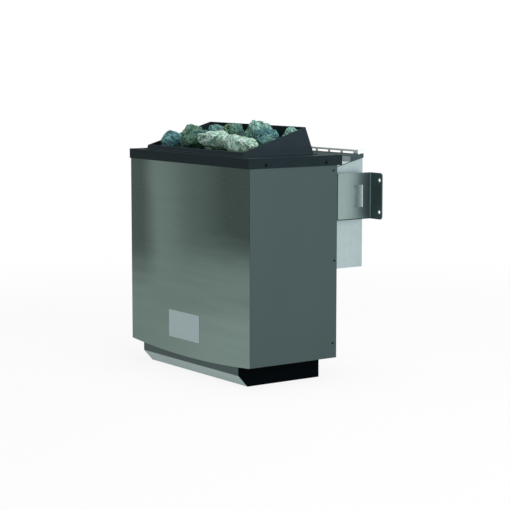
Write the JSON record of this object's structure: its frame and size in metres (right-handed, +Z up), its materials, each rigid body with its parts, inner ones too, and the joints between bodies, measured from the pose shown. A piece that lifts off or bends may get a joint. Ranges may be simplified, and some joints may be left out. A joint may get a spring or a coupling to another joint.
{
  "type": "sauna heater",
  "caption": "Wall-hung combi sauna heater: steel box body, sloping black stone hopper full of rocks, evaporator tank with lift-off lid behind, angle wall brackets and a folded tray below.",
  "frame": {"origin": "flat underside of the tray, below the middle of the body", "axes": "+Z up, -Y is the front, +Y points to the wall, +X is the right side seen from the front"},
  "size_m": [0.474, 0.2848, 0.4839],
  "materials": {
    "brushed_front": "brushed",
    "side_sheet": "satin",
    "black_coat": "matte",
    "pale_sheet": "satin",
    "zinc_sheet": "galvanised",
    "heater_sheath": "oxidised",
    "rock": "rough",
    "dark_plastic": "matte",
    "brass": "satin",
    "red_grip": "satin"
  },
  "bodies": {
    "heater": {"front_panel": "brushed_front", "dry_run_sensor": "brushed_front", "wall_bracket_right": "brushed_front", "wall_bracket_left": "brushed_front", "side_panel_right": "side_sheet", "side_panel_left": "side_sheet", "top_collar": "black_coat", "stone_hopper": "black_coat", "tray_end_right": "black_coat", "tray_end_left": "black_coat", "bottom_tray": "pale_sheet", "evaporator_tank": "pale_sheet", "rear_panel": "zinc_sheet", "base_plate": "zinc_sheet", "inner_liner": "zinc_sheet", "terminal_box": "zinc_sheet", "heating_element_1": "heater_sheath", "heating_element_2": "heater_sheath", "heating_element_3": "heater_sheath", "evaporator_element": "heater_sheath", "stone_grate": "heater_sheath", "stone_01": "rock", "stone_02": "rock", "stone_03": "rock", "stone_04": "rock", "stone_05": "rock", "stone_06": "rock", "stone_07": "rock", "stone_08": "rock", "stone_09": "rock", "stone_10": "rock", "stone_11": "rock", "stone_12": "rock", "stone_13": "rock", "stone_14": "rock", "stone_15": "rock", "stone_16": "rock", "stone_17": "rock", "stone_18": "rock", "stone_19": "rock", "stone_20": "rock", "stone_21": "rock", "stone_22": "rock", "stone_23": "rock", "stone_24": "rock", "stone_25": "rock", "stone_26": "rock", "stone_27": "rock", "stone_28": "rock", "terminal_block": "dark_plastic", "cable_gland": "dark_plastic", "drain_valve": "brass"},
    "lid": {"evaporator_lid": "pale_sheet"},
    "lever": {"drain_lever": "red_grip"}
  },
  "joints": [
    {"name": "lid_lift", "type": "slide", "parent": "heater", "child": "lid", "axis": [0, 0, 1], "range_m": [0, 0.06]},
    {"name": "drain_turn", "type": "hinge", "parent": "heater", "child": "lever", "pos_m": [0.0158, 0.1383, 0.1837], "axis": [1, 0, 0], "range_deg": [0, 90]}
  ]
}
